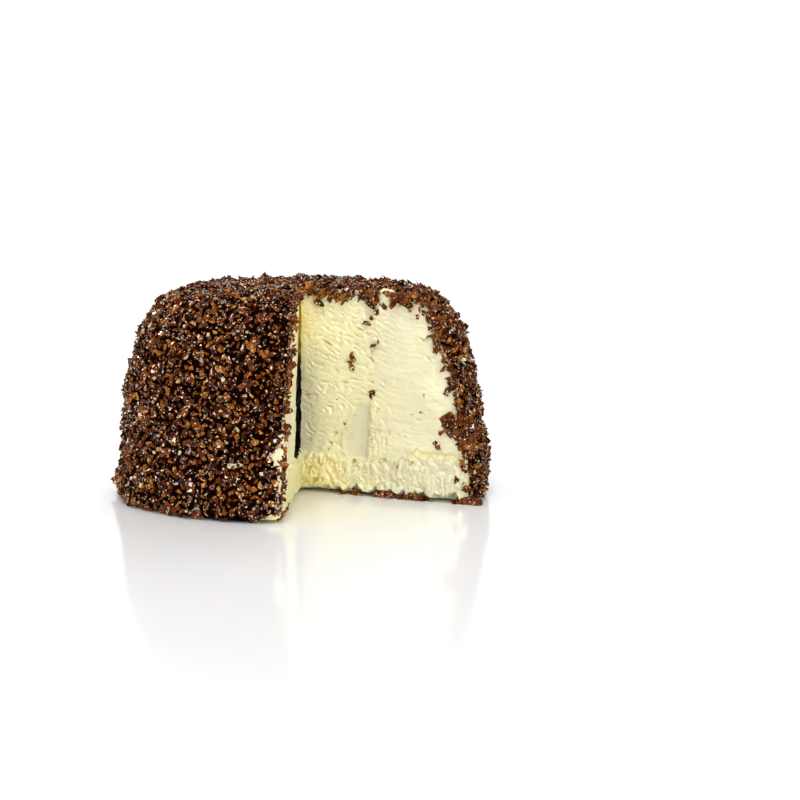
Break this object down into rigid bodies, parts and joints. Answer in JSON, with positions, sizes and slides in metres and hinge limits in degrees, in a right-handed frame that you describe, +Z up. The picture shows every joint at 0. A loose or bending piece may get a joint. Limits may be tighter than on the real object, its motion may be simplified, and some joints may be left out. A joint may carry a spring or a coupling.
{
  "type": "mustard-coated fresh cheese",
  "caption": "Round fresh cheese coated in crushed brown mustard, with a wedge cut out that shows its pale, crumbly inside.",
  "frame": {"origin": "on the table, under the middle of the base", "axes": "+Z up; the wedge is missing on the near side (-Y) to the right (+X), and its left cut face runs along -Y and leans a little, by about 5 degrees over its height"},
  "size_m": [0.0782, 0.0783, 0.0445],
  "materials": {
    "fresh_cheese": "pale cream, moist and slightly crumbly",
    "crushed_mustard": "dark brown crushed seed grains with a dull gloss"
  },
  "bodies": {
    "root": {"cheese": "fresh_cheese", "mustard_coat": "crushed_mustard"}
  },
  "joints": []
}
